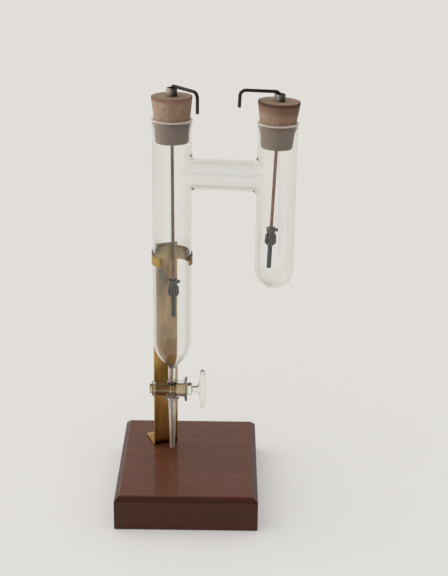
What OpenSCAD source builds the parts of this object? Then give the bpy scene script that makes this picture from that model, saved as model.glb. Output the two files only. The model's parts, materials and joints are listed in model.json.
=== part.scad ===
// Transport number apparatus: a glass H-cell with a stopcock, held by a spring
// clip on a brass upright that stands on a chamfered hardwood base.
// Millimetres, +Z up. The origin is the middle of the base's underside, the
// bridge runs roughly along +X and the upright stands behind the long limb.

/* [Base] */
// Width of the base, along X
base_w = 100; // [90:1:140]
// Depth of the base, along Y
base_d = 125; // [100:1:160]
// Thickness of the base
base_h = 25; // [18:0.5:40]
// Chamfer round the base's top edge
base_chamfer = 3.5; // [1:0.5:6]

/* [Glass cell] */
// Place of the long limb's axis across the base
limb_x = -12.1; // [-18:0.1:0]
// Place of the long limb's axis along the base's depth
limb_y = 5.6; // [-5:0.1:10]
// Turn of the bridge from +X, in degrees
bridge_turn = -5.2; // [-8:0.1:20]
// Distance between the axes of the two limbs
limb_spacing = 71.5; // [60:0.1:100]
// Outer diameter of both limbs
limb_od = 27; // [24:0.1:32]
// Wall of both limbs
limb_wall = 1; // [0.8:0.1:1.5]
// Radius of the fire-polished lip's bead
lip_r = 0.8; // [0.8:0.05:1.2]
// Long limb, from the foot of its taper to its lip
long_l = 181.7; // [150:0.1:220]
// Height of the long limb's taper down to the neck
taper_h = 20; // [12:0.5:30]
// Short limb, from its round bottom to its lip
short_l = 117.4; // [90:0.1:140]
// Outer diameter of the bridge
bridge_od = 21.2; // [12:0.1:21.4]
// Wall of the bridge
bridge_wall = 1; // [0.8:0.1:1.5]
// Bridge axis below the lips
bridge_drop = 37.9; // [32:0.1:55]
// How much the bridge's radius grows where it is sealed to a limb
flare_w = 1.2; // [0.5:0.1:1.2]
// Length of that flare outside the limb
flare_l = 3.6; // [2:0.1:8]

/* [Stopcock] */
// Turn of the stopcock from +X, in degrees
barrel_turn = 0; // [-8:0.5:8]
// Gap between the jet's tip and the base
jet_gap = 4.5; // [2:0.1:30]
// Length of the jet, from its tip to the seal under the barrel
jet_l = 40.5; // [20:0.1:60]
// Outer diameter of the jet at its tip
jet_tip_od = 3.5; // [3:0.1:4.5]
// Outer diameter of the jet at its top
jet_top_od = 5.8; // [5:0.1:7]
// Bore of the jet at its tip
jet_tip_bore = 1.2; // [0.6:0.1:1.8]
// Diameter of the seal ring between the jet and the barrel
seal_od = 9.7; // [8:0.1:11]
// Height of the flare under the seal ring
seal_h = 3; // [1:0.1:6]
// How far the seal ring stands below the barrel
seal_stand = 0.6; // [0.5:0.1:3]
// Bore of the neck, of the plug's cross hole and of the jet's top
way_d = 3; // [2:0.1:3.6]
// Outer diameter of the neck between the limb and the barrel
neck_od = 6; // [5:0.1:8]
// Length of the neck above the barrel
neck_l = 11.5; // [9:0.1:25]
// Barrel's length on the tail's side of the limb axis
barrel_tail_l = 14.5; // [8:0.1:16]
// Barrel's length on the handle's side of the limb axis
barrel_head_l = 10.9; // [8:0.1:16]
// Outer diameter of the barrel at the handle's side
barrel_big_d = 12.4; // [11:0.1:14]
// Outer diameter of the barrel at the tail's side
barrel_small_d = 10; // [9:0.1:11]
// Diameter of the barrel's flange next to the handle
flange_d = 17.8; // [15:0.1:20]
// Thickness of that flange
flange_t = 1.8; // [1:0.1:3]
// Diameter of the barrel's bead at the tail
bead_d = 11.2; // [10.4:0.1:13]
// Width of that bead
bead_t = 2; // [0.8:0.1:3]
// Diameter of the tapered plug at the handle's end of the barrel
plug_big_d = 8.4; // [7.4:0.1:9]
// Diameter of the tapered plug at the tail's end of the barrel
plug_small_d = 6.8; // [5.5:0.1:7.2]
// Ground running clearance between the plug and the barrel, on the radius
plug_gap = 0.06; // [0.03:0.01:0.1]
// How far the plug's tail stands out of the barrel
plug_tail = 1.8; // [0.5:0.1:5]
// Gap between the plug's head and the flange
head_gap = 0.3; // [0.2:0.05:1]
// Diameter of the plug's head
head_d = 9.2; // [9.1:0.1:12]
// Length of the plug's head
head_l = 2.8; // [1.5:0.1:6]
// Diameter of the stem between the head and the handle
stem_d = 4.7; // [3.5:0.1:7]
// Length of that stem
stem_l = 6.4; // [3:0.1:10]
// Height of the handle
handle_h = 31; // [18:0.5:34]
// Width of the handle, along the plug
handle_w = 3.9; // [3:0.1:9]
// Thickness of the handle
handle_t = 4.2; // [2.5:0.1:5]
// Height of the web where the stem runs into the handle
web_h = 12.6; // [7:0.1:14]
// Length of that web along the stem
web_l = 3; // [1:0.1:3]

/* [Upright and clip] */
// Turn of the upright about the long limb's axis, in degrees
upright_turn = 21; // [10:1:30]
// Width of the brass strip
strip_w = 18; // [14:0.5:24]
// Thickness of the brass strip
strip_t = 1.3; // [0.8:0.1:2.5]
// How far the strip stands above the clip
strip_over = 1.4; // [0:0.1:10]
// Depth of the strip's bent foot
foot_d = 20.5; // [16:0.5:30]
// Inside radius of the foot's bend
bend_r = 0.6; // [0.5:0.1:2]
// Height of the clip's lower edge above the foot of the long limb's taper
clip_rise = 77.9; // [40:0.1:90]
// Height of the clip's band
clip_h = 10; // [6:0.1:16]
// Thickness of the clip's band
clip_t = 0.7; // [0.4:0.05:1.2]
// Running clearance between the clip and the long limb, on the radius
clip_gap = 0.1; // [0.05:0.01:0.2]
// Angle of the clip's open mouth left of its middle, in degrees
clip_mouth_left = 59; // [45:1:75]
// Angle of the clip's open mouth right of its middle, in degrees
clip_mouth_right = 44; // [40:1:75]
// Radius of the clip's curled ears
ear_r = 2.3; // [1.5:0.1:4]
// How far each ear curls, in degrees
ear_turn = 80; // [40:1:120]
// Width of the clip's flat back, which is riveted to the strip
clip_back_w = 11; // [9:0.1:13]
// Diameter of the rivets
rivet_d = 2; // [1.5:0.1:2.4]
// Distance between the two rivets
rivet_spacing = 6; // [4:0.1:6.5]
// Diameter of the rivet heads
rivet_head_d = 3.6; // [3:0.1:4]
// Height of the rivet heads
rivet_head_h = 0.9; // [0.5:0.1:1.5]
// Diameter of the foot's wood screws
screw_d = 3; // [2:0.1:4]
// Depth of the wood screws in the base
screw_l = 12; // [6:0.5:15]
// Diameter of the wood screws' heads
screw_head_d = 5.6; // [4.5:0.1:6.5]
// Height of the wood screws' heads
screw_head_h = 1.8; // [1:0.1:3]
// Distance between the two wood screws
screw_spacing = 7; // [6.6:0.1:8]
// Clearance of rivets, screws and rods in their holes, on the radius
fastener_gap = 0.05; // [0.03:0.01:0.1]

/* [Stoppers] */
// Clearance between a stopper and the limb's bore at the lip, on the radius
stopper_gap = 0.2; // [0.15:0.01:0.4]
// Left stopper's height above the lip
left_stopper_up = 15.3; // [8:0.1:25]
// Left stopper's depth below the lip
left_stopper_in = 16.1; // [8:0.1:20]
// Diameter of the left stopper's top
left_stopper_top_d = 28; // [25:0.1:30]
// Diameter of the left stopper's foot
left_stopper_foot_d = 22.6; // [20:0.1:24.4]
// Left closure's lean in the limb, in degrees
left_lean = -0.4; // [-2:0.1:2]
// Right stopper's height above the lip
right_stopper_up = 14.1; // [8:0.1:25]
// Right stopper's depth below the lip
right_stopper_in = 17.4; // [8:0.1:20]
// Diameter of the right stopper's top
right_stopper_top_d = 28.7; // [25:0.1:30]
// Diameter of the right stopper's foot
right_stopper_foot_d = 21.1; // [20:0.1:24.4]
// Right closure's lean in the limb, in degrees
right_lean = 2.1; // [-3:0.1:3]

/* [Sleeves and leads] */
// Outer diameter of the sleeves
sleeve_d = 7.7; // [7:0.1:10]
// Height of the left sleeve above its stopper
left_sleeve_up = 5.6; // [3:0.1:10]
// Height of the right sleeve above its stopper
right_sleeve_up = 4.9; // [3:0.1:10]
// Shortest rubber left under a sleeve
sleeve_floor = 5; // [3:0.1:7]
// Diameter of the open cup in a sleeve's top
cup_d = 6; // [4:0.1:6.6]
// Depth of that cup
cup_h = 9; // [2:0.1:10]
// Running clearance of a sleeve in its stopper, on the radius
sleeve_gap = 0.05; // [0.03:0.01:0.1]
// Diameter of the lead wires
wire_d = 2.2; // [1.5:0.1:2.4]
// Running clearance of a lead wire in its sleeve, on the radius
wire_gap = 0.05; // [0.03:0.01:0.1]
// Clearance of a lead wire in the rubber below its sleeve, on the radius
rubber_gap = 0.4; // [0.3:0.05:0.8]
// Gap between a hook's arm and its sleeve
hook_gap = 0.3; // [0.2:0.05:1]
// Bend radius of the hooks, on the wire's axis
hook_r = 3; // [2.5:0.1:5]
// Left hook's reach from the sleeve's axis
left_reach = 29.6; // [18:0.1:32]
// Left hook's drop from its arm's axis
left_leg = 14; // [8:0.1:20]
// Left hook's turn from the bridge, in degrees
left_hook_turn = -48; // [-180:1:180]
// Left lead's length from the lip down to the chuck
left_lead_l = 115; // [60:0.1:130]
// Right hook's reach from the sleeve's axis
right_reach = 26.4; // [18:0.1:32]
// Right hook's drop from its arm's axis
right_leg = 11.7; // [8:0.1:20]
// Right hook's turn from the bridge, in degrees
right_hook_turn = -173; // [-180:1:180]
// Right lead's length from the lip down to the chuck
right_lead_l = 73.9; // [40:0.1:76]

/* [Chucks and electrodes] */
// Diameter of the chucks' collars
collar_d = 6.5; // [5.8:0.1:8]
// Height of the collars
collar_h = 2.8; // [2.4:0.1:5]
// Diameter of the spigot that a nut turns on
spigot_d = 4.8; // [4.6:0.1:5.2]
// Running clearance of a nut on its spigot, on the radius
nut_gap = 0.06; // [0.03:0.01:0.1]
// Gap between a nut and the shoulders of its chuck
nut_seat = 0.3; // [0.2:0.05:0.6]
// Diameter of the nuts at their top
nut_top_d = 6.8; // [6.4:0.1:8]
// Diameter of the nuts where they are widest
nut_d = 8.4; // [7:0.1:9.5]
// Height of the nuts
nut_h = 9.6; // [8:0.1:12]
// Diameter of a nut's lower end
nose_d = 4.6; // [4.2:0.1:6]
// Height of a nut's tapered lower end
nose_h = 2.2; // [1.6:0.1:3]
// Wall left in a chuck between the wire and the electrode
chuck_web = 1.2; // [0.6:0.1:2]
// Diameter of the clamping screws
clamp_d = 1.4; // [1:0.1:1.8]
// Diameter of the clamping screws' heads
clamp_head_d = 2.2; // [1.9:0.1:2.4]
// Height of the clamping screws' heads
clamp_head_h = 1.2; // [0.8:0.1:2]
// Diameter of the electrode pins
pin_d = 3.1; // [1.6:0.1:3.4]
// Depth of an electrode pin in its chuck
pin_grip = 3.5; // [2:0.1:4.5]
// Length of the left electrode pin below its chuck
left_pin_l = 15.2; // [8:0.1:18]
// Length of the right electrode pin below its chuck
right_pin_l = 16.4; // [8:0.1:16.6]

/* [Hidden] */
$fn = 96;

// Steps in a curved profile
arc_steps = 18;
// Steps in the inside of the clip's band
band_steps = 54;
// Overlap that lets a cut run past the face it opens
cut = 1;

// Heights, stacked from the base's top
jet_tip_z = base_h + jet_gap;
seal_z = jet_tip_z + jet_l;
barrel_z = seal_z + seal_stand + barrel_big_d / 2;
limb_foot_z = barrel_z + barrel_big_d / 2 + neck_l;
lip_z = limb_foot_z + long_l;
bridge_z = lip_z - bridge_drop;
clip_z = limb_foot_z + clip_rise;
strip_top_z = clip_z + clip_h + strip_over;

// Radii and distances that several pieces share
limb_r = limb_od / 2;
bore_r = limb_r - limb_wall;
neck_r = neck_od / 2;
way_r = way_d / 2;
clip_ri = limb_r + clip_gap;
clip_ro = clip_ri + clip_t;
strip_y = clip_ro;
foot_screw_y = strip_y + strip_t + bend_r + (foot_d - strip_t - bend_r) / 2;
handle_x = barrel_head_l + head_gap + head_l + stem_l;
chuck_l = collar_h + nut_seat + nut_h;
spigot_end = collar_h + nut_h - nose_h;
rod_in_chuck = spigot_end - pin_grip - chuck_web;

// Points of an arc in a profile, from angle a0 to a1
function arc(cx, cz, r, a0, a1, steps = arc_steps) =
    [for (i = [0:steps]) let (a = a0 + (a1 - a0) * i / steps) [cx + r * cos(a), cz + r * sin(a)]];

// The same points in the opposite order, without the first, and mirrored across X
function reverse(list) = [for (i = [len(list) - 1:-1:0]) list[i]];
function drop_first(list) = [for (i = [1:len(list) - 1]) list[i]];
function mirror_x(list) = [for (p = list) [-p[0], p[1]]];

// Points of the long limb's taper: the radius falls with the square of the depth
function taper(r_top, r_foot) =
    [for (i = [0:arc_steps]) let (t = 1 - i / arc_steps) [r_foot + (r_top - r_foot) * (1 - t * t),
        limb_foot_z + taper_h * (1 - t)]];

// Points of a beaded lip, from the outer wall over the top to the bore
function lip() = arc(bore_r + lip_r, lip_z - lip_r, lip_r, -acos((limb_wall - lip_r) / lip_r), 180);

// Places of the frames that the pieces are built in
module at_limb(turn) translate([limb_x, limb_y, 0]) rotate([0, 0, turn]) children();

module at_barrel() at_limb(barrel_turn) translate([0, 0, barrel_z]) rotate([0, 90, 0]) children();

module at_left_closure() at_limb(bridge_turn) translate([0, 0, lip_z]) rotate([0, left_lean, 0]) children();

module at_right_closure() at_limb(bridge_turn) translate([limb_spacing, 0, lip_z])
    rotate([0, right_lean, 0]) children();

// A pair of places, a given distance apart along X
module pair_x(spacing) for (s = [-1, 1]) translate([s * spacing / 2, 0, 0]) children();

// A pair of places, a given distance apart along Y
module pair_y(spacing) for (s = [-1, 1]) translate([0, s * spacing / 2, 0]) children();

// A block whose top edge is chamfered, cut as two crossed prisms
module chamfered_block(w, d, h, c) intersection() {
    translate([0, d / 2, 0]) rotate([90, 0, 0]) linear_extrude(d)
        polygon([[-w / 2, 0], [w / 2, 0], [w / 2, h - c], [w / 2 - c, h], [c - w / 2, h], [-w / 2, h - c]]);
    translate([-w / 2, 0, 0]) rotate([90, 0, 90]) linear_extrude(w)
        polygon([[-d / 2, 0], [d / 2, 0], [d / 2, h - c], [d / 2 - c, h], [c - d / 2, h], [-d / 2, h - c]]);
}

module wooden_base() color("saddlebrown") difference() {
    chamfered_block(base_w, base_d, base_h, base_chamfer);
    at_limb(upright_turn) translate([0, foot_screw_y, base_h - screw_l - cut]) pair_y(screw_spacing)
        cylinder(h = screw_l + 2 * cut, d = screw_d + 2 * fastener_gap);
}

// Side view of the strip and its bent foot, with depth along X and height along Y
module upright_outline() {
    r = bend_r + strip_t;
    translate([strip_y, base_h + r]) square([strip_t, strip_top_z - base_h - r]);
    translate([strip_y + r, base_h]) square([foot_d - r, strip_t]);
    translate([strip_y + r, base_h + r]) intersection() {
        difference() {
            circle(r);
            circle(bend_r);
        }
        translate([-r, -r]) square(r);
    }
}

module brass_upright() color("darkgoldenrod") at_limb(upright_turn) difference() {
    translate([-strip_w / 2, 0, 0]) rotate([90, 0, 90]) linear_extrude(strip_w) upright_outline();
    translate([0, foot_screw_y, base_h - cut]) pair_y(screw_spacing)
        cylinder(h = strip_t + 2 * cut, d = screw_d + 2 * fastener_gap);
    translate([0, strip_y - cut, clip_z + clip_h / 2]) rotate([-90, 0, 0]) pair_x(rivet_spacing)
        cylinder(h = strip_t + 2 * cut, d = rivet_d + 2 * fastener_gap);
}

module foot_screws() color("goldenrod") at_limb(upright_turn) translate([0, foot_screw_y, base_h])
    pair_y(screw_spacing) {
        translate([0, 0, -screw_l]) cylinder(h = screw_l + strip_t, d = screw_d);
        translate([0, 0, strip_t]) cylinder(h = screw_head_h, d1 = screw_head_d, d2 = screw_head_d * 0.6);
    }

// Points along one side of a right-hand ear, from the band's end to the ear's tip
function ear_side(mouth, r) =
    let (a = mouth - 90, c = (clip_ri + clip_t / 2 + ear_r) * [cos(a), sin(a)])
    drop_first(arc(c[0], c[1], r, a + 180, a + 180 + ear_turn));

// Plan of the clip: the band round the limb, two curled ears and a flat back
module clip_outline() {
    right_end = clip_mouth_right - 90;
    left_end = 270 - clip_mouth_left;
    back_edge = acos(clip_back_w / 2 / clip_ro);
    near_r = ear_r + clip_t / 2;
    far_r = ear_r - clip_t / 2;
    polygon(concat(
        reverse(ear_side(clip_mouth_right, near_r)),
        arc(0, 0, clip_ri, right_end, left_end, band_steps),
        mirror_x(ear_side(clip_mouth_left, near_r)),
        reverse(mirror_x(ear_side(clip_mouth_left, far_r))),
        arc(0, 0, clip_ro, left_end, 180 - back_edge),
        [[-clip_back_w / 2, strip_y], [clip_back_w / 2, strip_y]],
        arc(0, 0, clip_ro, back_edge, right_end),
        ear_side(clip_mouth_right, far_r)
    ));
}

module tube_clip() color("gold") at_limb(upright_turn) translate([0, 0, clip_z]) difference() {
    linear_extrude(clip_h) clip_outline();
    translate([0, 0, clip_h / 2]) rotate([-90, 0, 0]) pair_x(rivet_spacing)
        cylinder(h = strip_y + cut, d = rivet_d + 2 * fastener_gap);
}

module clip_rivets() color("goldenrod") at_limb(upright_turn) translate([0, strip_y, clip_z + clip_h / 2])
    rotate([-90, 0, 0]) pair_x(rivet_spacing) {
        translate([0, 0, -clip_t / 2]) cylinder(h = clip_t / 2 + strip_t, d = rivet_d);
        translate([0, 0, strip_t]) cylinder(h = rivet_head_h, d1 = rivet_head_d, d2 = rivet_head_d * 0.6);
    }

module long_limb() color("lightcyan", 0.5) at_limb(bridge_turn) difference() {
    rotate_extrude() polygon(concat(taper(limb_r, neck_r), lip(), reverse(taper(bore_r, way_r))));
    translate([0, 0, bridge_z]) rotate([0, 90, 0]) cylinder(h = limb_od, d = bridge_od - 2 * bridge_wall);
}

module short_limb() color("lightcyan", 0.5) at_limb(bridge_turn) translate([limb_spacing, 0, 0]) difference() {
    bottom_z = lip_z - short_l + limb_r;
    outside = arc(0, bottom_z, limb_r, -90, 0);
    inside = arc(0, bottom_z, bore_r, 0, -90);
    rotate_extrude() polygon(concat(outside, lip(), inside));
    translate([0, 0, bridge_z]) rotate([0, -90, 0]) cylinder(h = limb_od, d = bridge_od - 2 * bridge_wall);
}

module bridge_tube() color("lightcyan", 0.5) at_limb(bridge_turn) difference() {
    r = bridge_od / 2;
    bore = r - bridge_wall;
    flare_end = limb_r + flare_l;
    translate([0, 0, bridge_z]) rotate([0, 90, 0]) rotate_extrude() polygon([
        [bore, 0], [r + flare_w, 0], [r + flare_w, limb_r - limb_wall], [r, flare_end],
        [r, limb_spacing - flare_end], [r + flare_w, limb_spacing - limb_r + limb_wall],
        [r + flare_w, limb_spacing], [bore, limb_spacing]
    ]);
    translate([0, 0, bridge_z - bridge_od]) cylinder(h = 2 * bridge_od, r = limb_r);
    translate([limb_spacing, 0, bridge_z - bridge_od]) cylinder(h = 2 * bridge_od, r = limb_r);
}

module stopcock_barrel() color("lightcyan", 0.5) difference() {
    union() {
        at_barrel() {
            translate([0, 0, -barrel_tail_l])
                cylinder(h = barrel_tail_l + barrel_head_l, d1 = barrel_small_d, d2 = barrel_big_d);
            translate([0, 0, barrel_head_l - flange_t]) cylinder(h = flange_t, d = flange_d);
            translate([0, 0, -barrel_tail_l]) cylinder(h = bead_t, d = bead_d);
        }
        at_limb(bridge_turn) translate([0, 0, barrel_z]) cylinder(h = limb_foot_z - barrel_z, r = neck_r);
        at_limb(bridge_turn) translate([0, 0, seal_z]) cylinder(h = barrel_z - seal_z, d = seal_od);
    }
    plug_cone(plug_gap, cut);
    at_limb(bridge_turn) translate([0, 0, seal_z - cut]) cylinder(h = limb_foot_z - seal_z + 2 * cut, r = way_r);
}

// The ground taper of the plug, grown by a clearance and run on past both ends
module plug_cone(gap, over) {
    slope = (plug_big_d - plug_small_d) / (barrel_tail_l + barrel_head_l);
    at_barrel() translate([0, 0, -barrel_tail_l - over]) cylinder(
        h = barrel_tail_l + barrel_head_l + 2 * over,
        d1 = plug_small_d - slope * over + 2 * gap,
        d2 = plug_big_d + slope * over + 2 * gap
    );
}

module outlet_jet() color("lightcyan", 0.5) at_limb(bridge_turn) rotate_extrude() polygon([
    [jet_tip_bore / 2, jet_tip_z], [jet_tip_od / 2, jet_tip_z], [jet_top_od / 2, seal_z - seal_h],
    [seal_od / 2, seal_z], [way_r, seal_z], [way_r, seal_z - seal_h]
]);

// Outline of the handle: a petal, and the web through which the stem runs into it
module handle_outline() {
    back = -handle_t / 8;
    root = stem_d * 0.45;
    web = [for (i = [0:arc_steps]) let (t = i / arc_steps)
        [root + (web_h / 2 - root) * t * t, back - web_l * (1 - t)]];
    polygon(concat(
        [for (i = [0:2 * arc_steps]) let (a = -90 + 90 * i / arc_steps)
            [handle_h / 2 * sin(a), handle_w * sqrt(cos(a))]],
        [[handle_h / 2 * 0.9, back]], reverse(web), mirror_x(web), [[-handle_h / 2 * 0.9, back]]
    ));
}

module stopcock_plug() color("azure", 0.7) difference() {
    union() {
        plug_cone(0, 0);
        at_barrel() {
            translate([0, 0, -barrel_tail_l - plug_tail]) cylinder(h = plug_tail, d = plug_small_d);
            translate([0, 0, barrel_head_l]) cylinder(h = head_gap, d = plug_big_d);
            translate([0, 0, barrel_head_l + head_gap]) cylinder(h = head_l, d = head_d);
            translate([0, 0, handle_x - stem_l]) cylinder(h = stem_l, d = stem_d);
            translate([0, handle_t / 2, handle_x]) rotate([90, 0, 0]) linear_extrude(handle_t) handle_outline();
        }
    }
    at_limb(bridge_turn) translate([0, 0, barrel_z - plug_big_d]) cylinder(h = 2 * plug_big_d, r = way_r);
}

// A tapered stopper, nipped by the lip: the sleeve's hole above, the wire's passage below
module stopper(up, into, top_d, foot_d) difference() {
    rotate_extrude() polygon([
        [0, -into], [foot_d / 2, -into], [bore_r - stopper_gap, 0], [top_d / 2, up], [0, up]
    ]);
    translate([0, 0, sleeve_floor - into]) cylinder(h = up + into, d = sleeve_d + 2 * sleeve_gap);
    translate([0, 0, -into - cut]) cylinder(h = up + into, d = wire_d + 2 * rubber_gap);
}

// A sleeve: a guide bore for the wire, opened to a cup at its top
module sleeve(up, into, over) difference() {
    translate([0, 0, sleeve_floor - into]) cylinder(h = up + over + into - sleeve_floor, d = sleeve_d);
    translate([0, 0, -into]) cylinder(h = up + over + into + cut, d = wire_d + 2 * wire_gap);
    translate([0, 0, up + over - cup_h]) cylinder(h = cup_h + cut, d = cup_d);
}

// A quarter bend of wire, which starts upwards at the origin and ends along +X
module elbow() translate([hook_r, 0, 0]) rotate([90, 0, 0]) rotate([0, 0, 90])
    rotate_extrude(angle = 90) translate([hook_r, 0]) circle(d = wire_d);

// A straight lead with a hook at its top: up the sleeve, over its rim and down
module lead_wire(rim_z, lead_l, reach, leg, turn) {
    arm_z = rim_z + hook_gap + wire_d / 2;
    rod_z = -lead_l - rod_in_chuck;
    rotate([0, 0, turn]) {
        translate([0, 0, rod_z]) cylinder(h = arm_z - hook_r - rod_z, d = wire_d);
        translate([0, 0, arm_z - hook_r]) elbow();
        translate([hook_r, 0, arm_z]) rotate([0, 90, 0]) cylinder(h = reach - 2 * hook_r, d = wire_d);
        translate([reach, 0, arm_z - hook_r]) mirror([1, 0, 0]) elbow();
        translate([reach, 0, arm_z - leg]) cylinder(h = leg - hook_r, d = wire_d);
    }
}

// A chuck: a collar clamped to the wire, and a spigot that grips the electrode
module chuck_body(lead_l) translate([0, 0, -lead_l]) difference() {
    rotate_extrude() polygon([
        [0, 0], [collar_d / 2, 0], [collar_d / 2, -collar_h], [spigot_d / 2, -collar_h],
        [spigot_d / 2, -spigot_end], [0, -spigot_end]
    ]);
    translate([0, 0, -rod_in_chuck]) cylinder(h = rod_in_chuck + cut, d = wire_d + 2 * fastener_gap);
    translate([0, 0, -spigot_end - cut]) cylinder(h = pin_grip + cut, d = pin_d + 2 * fastener_gap);
    translate([0, 0, -collar_h / 2]) rotate([0, 90, 0]) cylinder(h = collar_d, d = clamp_d + 2 * nut_gap);
}

// The nut that closes a chuck: a bulb with a tapered nose, which turns on the spigot
module chuck_nut(lead_l) translate([0, 0, -lead_l - chuck_l]) difference() {
    rotate_extrude() polygon([
        [0, 0], [nose_d / 2, 0], [nut_d / 2, nose_h], [nut_top_d / 2, nut_h], [0, nut_h]
    ]);
    translate([0, 0, nose_h]) cylinder(h = nut_h, d = spigot_d + 2 * nut_gap);
    translate([0, 0, -cut]) cylinder(h = nut_h, d = pin_d + 2 * nut_gap);
}

module clamp_screw(lead_l) translate([0, 0, -lead_l - collar_h / 2]) rotate([0, 90, 0]) {
    translate([0, 0, wire_d / 2 + fastener_gap])
        cylinder(h = collar_d / 2 + nut_seat - wire_d / 2 - fastener_gap, d = clamp_d);
    translate([0, 0, collar_d / 2 + nut_seat]) cylinder(h = clamp_head_h, d = clamp_head_d);
}

module electrode_pin(lead_l, pin_l) translate([0, 0, -lead_l - chuck_l - pin_l])
    cylinder(h = pin_l + chuck_l - spigot_end + pin_grip, d = pin_d);

module left_stopper() color("rosybrown") at_left_closure()
    stopper(left_stopper_up, left_stopper_in, left_stopper_top_d, left_stopper_foot_d);

module left_sleeve() color("gray") at_left_closure() sleeve(left_stopper_up, left_stopper_in, left_sleeve_up);

module left_lead_wire() color("sienna") at_left_closure()
    lead_wire(left_stopper_up + left_sleeve_up, left_lead_l, left_reach, left_leg, left_hook_turn);

module left_chuck_body() color("dimgray") at_left_closure() chuck_body(left_lead_l);

module left_chuck_nut() color("slategray") at_left_closure() chuck_nut(left_lead_l);

module left_clamp_screw() color("darkgray") at_left_closure() clamp_screw(left_lead_l);

module left_electrode_pin() color("darkslategray") at_left_closure() electrode_pin(left_lead_l, left_pin_l);

module right_stopper() color("rosybrown") at_right_closure()
    stopper(right_stopper_up, right_stopper_in, right_stopper_top_d, right_stopper_foot_d);

module right_sleeve() color("gray") at_right_closure() sleeve(right_stopper_up, right_stopper_in, right_sleeve_up);

module right_lead_wire() color("sienna") at_right_closure()
    lead_wire(right_stopper_up + right_sleeve_up, right_lead_l, right_reach, right_leg, right_hook_turn);

module right_chuck_body() color("dimgray") at_right_closure() chuck_body(right_lead_l);

module right_chuck_nut() color("slategray") at_right_closure() chuck_nut(right_lead_l);

module right_clamp_screw() color("darkgray") at_right_closure() clamp_screw(right_lead_l);

module right_electrode_pin() color("darkslategray") at_right_closure() electrode_pin(right_lead_l, right_pin_l);

wooden_base();
brass_upright();
foot_screws();
tube_clip();
clip_rivets();
long_limb();
bridge_tube();
short_limb();
stopcock_barrel();
outlet_jet();
stopcock_plug();
left_stopper();
left_sleeve();
left_lead_wire();
left_chuck_body();
left_chuck_nut();
left_clamp_screw();
left_electrode_pin();
right_stopper();
right_sleeve();
right_lead_wire();
right_chuck_body();
right_chuck_nut();
right_clamp_screw();
right_electrode_pin();
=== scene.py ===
# %% [markdown]
# # A transport number apparatus
# Two glass limbs and a bridge form an H-shaped cell. A stopcock and a drip jet
# close the long limb, and a brass strip holds the cell above a mahogany block.
# The CAD model already fixes every size and every joint. This lesson dresses
# it: each piece is drawn again as a smooth surface, gets the finish of its real
# material, and rides on the body that carries it.

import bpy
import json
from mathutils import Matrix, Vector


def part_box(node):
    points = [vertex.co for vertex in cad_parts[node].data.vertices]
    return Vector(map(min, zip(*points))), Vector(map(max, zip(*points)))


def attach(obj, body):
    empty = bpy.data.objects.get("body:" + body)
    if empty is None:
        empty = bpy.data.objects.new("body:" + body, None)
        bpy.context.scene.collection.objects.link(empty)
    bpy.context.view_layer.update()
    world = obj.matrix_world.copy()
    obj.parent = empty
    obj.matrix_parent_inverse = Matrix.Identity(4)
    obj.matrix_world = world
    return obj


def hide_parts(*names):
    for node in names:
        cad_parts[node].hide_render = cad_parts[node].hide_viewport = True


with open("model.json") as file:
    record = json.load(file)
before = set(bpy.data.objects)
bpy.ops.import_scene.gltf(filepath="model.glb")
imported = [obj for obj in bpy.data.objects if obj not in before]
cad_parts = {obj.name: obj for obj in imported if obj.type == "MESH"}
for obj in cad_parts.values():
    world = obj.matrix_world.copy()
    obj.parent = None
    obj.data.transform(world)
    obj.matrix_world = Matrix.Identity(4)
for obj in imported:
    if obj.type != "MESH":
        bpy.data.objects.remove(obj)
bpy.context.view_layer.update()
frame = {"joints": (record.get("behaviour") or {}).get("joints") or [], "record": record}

import json
from functools import partial

import bmesh
import bpy
import numpy as np
from mathutils import Matrix

# %% [markdown]
# ## Places to build in
# Every piece of this object is turned, bent or blown round some axis, so each
# is easiest to draw upright at an origin of its own. A place holds that origin
# and three axes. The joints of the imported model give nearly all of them: the
# limb's axis, the stopcock's axis and the two slightly leaning stoppers. Work
# is in millimetres, and a point becomes metres only when its mesh is made.

# %% Places from the joints
MM = 0.001
joints = {joint["name"]: joint for joint in frame["joints"]}
mounts = {mount["name"]: mount for mount in frame["record"]["mounts"]}


def spot(row):
    """Where a joint or a mount is, in millimetres."""
    return np.array(row["pos_m"]) / MM


def corners(name):
    """The lowest and the highest corner of a CAD node, in millimetres."""
    return [np.array(corner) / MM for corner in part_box(name)]


def unit(vectors):
    """Vectors of the same directions and of length one."""
    return vectors / np.linalg.norm(vectors, axis=-1, keepdims=True)


def place_at(origin, up, ahead):
    """A place: its origin, and a matrix whose columns are its axes. Z runs along up, X along the part
    of ahead that is square to up, and Y completes them."""
    z = unit(np.array(up, float))
    x = unit(np.array(ahead, float) - np.dot(ahead, z) * z)
    return np.array(origin, float), np.stack([x, np.cross(z, x), z], axis=1)


def moved(place, offset):
    """The same axes at another origin, given in the place's own millimetres."""
    return place[0] + place[1] @ np.array(offset, float), place[1]


def settle(points, place):
    """Points of a place, carried into the frame of the whole object."""
    return place[0] + points @ place[1].T


UP = np.array([0.0, 0.0, 1.0])
ALONG_PLUG = np.array(joints["stopcock_turn"]["axis"])
LIMB = spot(joints["cell_swivel"]) * [1, 1, 0]
FAR_LIMB = spot(joints["right_hook_turn"]) * [1, 1, 0]
SPACING = np.linalg.norm(FAR_LIMB - LIMB)
ALONG_BRIDGE = (FAR_LIMB - LIMB) / SPACING
UPRIGHT_TURN = np.radians(21)

limb_place = place_at(LIMB, UP, ALONG_BRIDGE)
far_limb_place = place_at(FAR_LIMB, UP, -ALONG_BRIDGE)
barrel_place = place_at(spot(joints["stopcock_turn"]), ALONG_PLUG, -UP)
upright_place = place_at(LIMB, UP, [np.cos(UPRIGHT_TURN), np.sin(UPRIGHT_TURN), 0])
print("limbs are", round(SPACING, 2), "mm apart; the stopcock is", round(barrel_place[0][2], 2), "mm up")

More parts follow.
